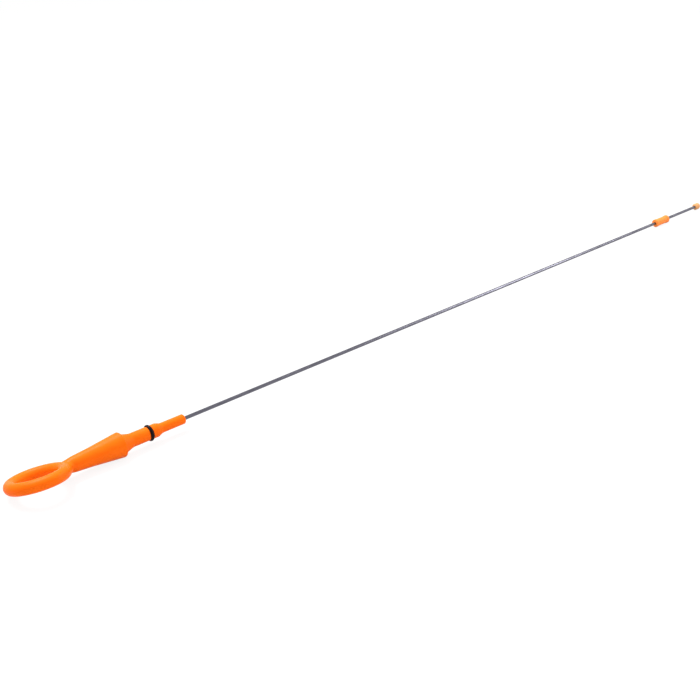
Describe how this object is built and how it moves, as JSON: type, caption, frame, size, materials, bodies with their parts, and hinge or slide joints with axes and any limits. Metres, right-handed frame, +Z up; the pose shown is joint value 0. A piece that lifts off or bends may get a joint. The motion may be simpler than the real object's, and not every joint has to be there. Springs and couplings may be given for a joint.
{
  "type": "engine oil dipstick",
  "caption": "Engine oil dipstick: moulded finger ring, grip and plug with a rubber seal ring, on a long straight steel wire that carries a level sleeve and a tip bead.",
  "frame": {"origin": "on the surface that the dipstick lies on, under the middle of its length", "axes": "+X along the dipstick towards the tip, +Y across it, +Z up from the surface"},
  "size_m": [0.6418, 0.0354, 0.0155],
  "materials": {
    "handle_plastic": "satin moulded",
    "seal_rubber": "moulded, lightly oiled",
    "rod_steel": "drawn wire",
    "mark_plastic": "satin moulded"
  },
  "bodies": {
    "root": {"handle": "handle_plastic", "seal_ring": "seal_rubber", "rod": "rod_steel", "level_sleeve": "mark_plastic", "tip": "mark_plastic"}
  },
  "joints": []
}
